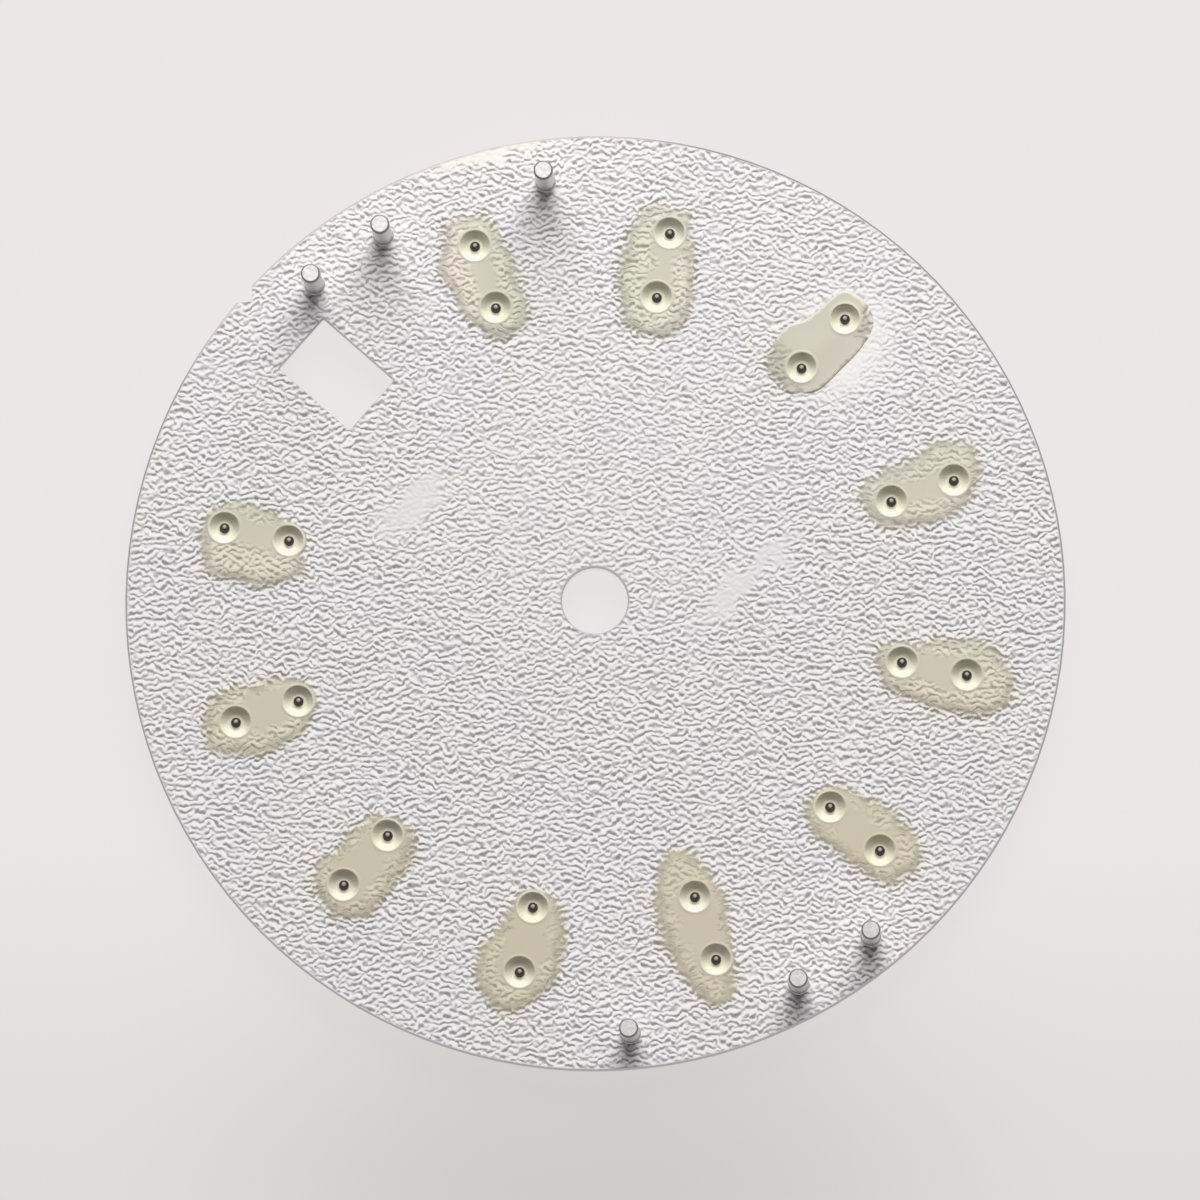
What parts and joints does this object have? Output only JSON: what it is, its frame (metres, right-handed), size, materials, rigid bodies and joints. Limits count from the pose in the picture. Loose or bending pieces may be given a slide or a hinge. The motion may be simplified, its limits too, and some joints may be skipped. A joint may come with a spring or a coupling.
{
  "type": "watch dial",
  "caption": "Round watch dial lying back up: thin plated plate with locating feet, hand hole, date window, rim notch and glued hour indices on the hidden front.",
  "frame": {"origin": "centre of the hand hole on the back face, the plane that seats on the movement", "axes": "+Z out of the back, along the feet; +Y towards twelve o'clock; -X towards three o'clock, where the date window is"},
  "size_m": [0.0285, 0.0284, 0.0034],
  "materials": {
    "plated_brass": "silver plated, finely wrinkled relief, satin",
    "foot_metal": "plated, satin, drawn pin",
    "adhesive": "thin cloudy lacquer, smooth where it pooled",
    "index_metal": "polished facets",
    "lume": "matte, fine grained",
    "face_coat": "fine sunray brushing under clear lacquer",
    "print": "matte printed ink"
  },
  "bodies": {
    "root": {"dial_plate": "plated_brass", "front_coat": "face_coat", "minute_track": "print", "dial_foot_crown_3_upper": "foot_metal", "dial_foot_crown_3_lower": "foot_metal", "dial_foot_crown_3_8_upper": "foot_metal", "dial_foot_crown_3_8_lower": "foot_metal", "dial_foot_crown_4_2_upper": "foot_metal", "dial_foot_crown_4_2_lower": "foot_metal", "index_01": "index_metal", "lume_01": "lume", "adhesive_01": "adhesive", "index_02": "index_metal", "lume_02": "lume", "adhesive_02": "adhesive", "index_04": "index_metal", "lume_04": "lume", "adhesive_04": "adhesive", "index_05": "index_metal", "lume_05": "lume", "adhesive_05": "adhesive", "index_06": "index_metal", "lume_06": "lume", "adhesive_06": "adhesive", "index_07": "index_metal", "lume_07": "lume", "adhesive_07": "adhesive", "index_08": "index_metal", "lume_08": "lume", "adhesive_08": "adhesive", "index_09": "index_metal", "lume_09": "lume", "adhesive_09": "adhesive", "index_10": "index_metal", "lume_10": "lume", "adhesive_10": "adhesive", "index_11": "index_metal", "lume_11": "lume", "adhesive_11": "adhesive", "index_12": "index_metal", "lume_12": "lume", "adhesive_12": "adhesive"}
  },
  "joints": []
}
